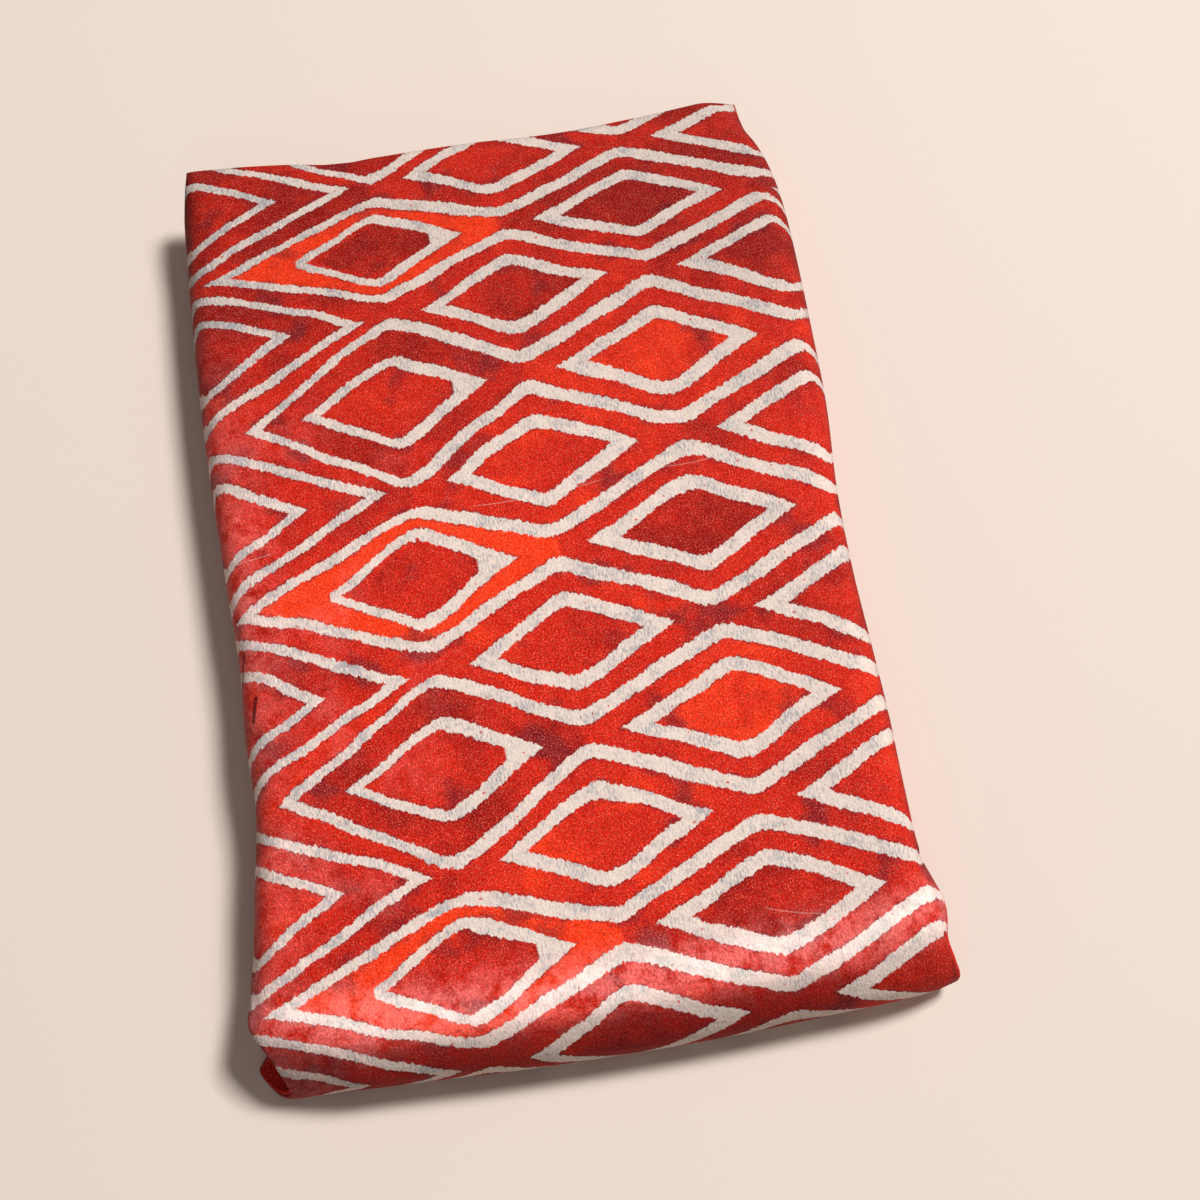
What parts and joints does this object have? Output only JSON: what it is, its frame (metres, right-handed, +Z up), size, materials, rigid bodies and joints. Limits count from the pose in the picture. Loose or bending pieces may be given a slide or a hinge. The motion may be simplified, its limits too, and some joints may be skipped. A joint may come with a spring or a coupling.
{
  "type": "folded printed velvet fabric",
  "caption": "Cut length of printed velvet, folded over its width into a strip and back and forth into a flat bundle with one tall rolled end.",
  "frame": {"origin": "middle of the bundle's underside", "axes": "+X across the folded strip, +Y along it to the end with the open folds, +Z up"},
  "size_m": [0.2965, 0.4491, 0.0408],
  "materials": {
    "velvet": "soft pile velvet, printed with red and cream nested diamonds"
  },
  "bodies": {
    "root": {"folded_velvet": "velvet"}
  },
  "joints": []
}
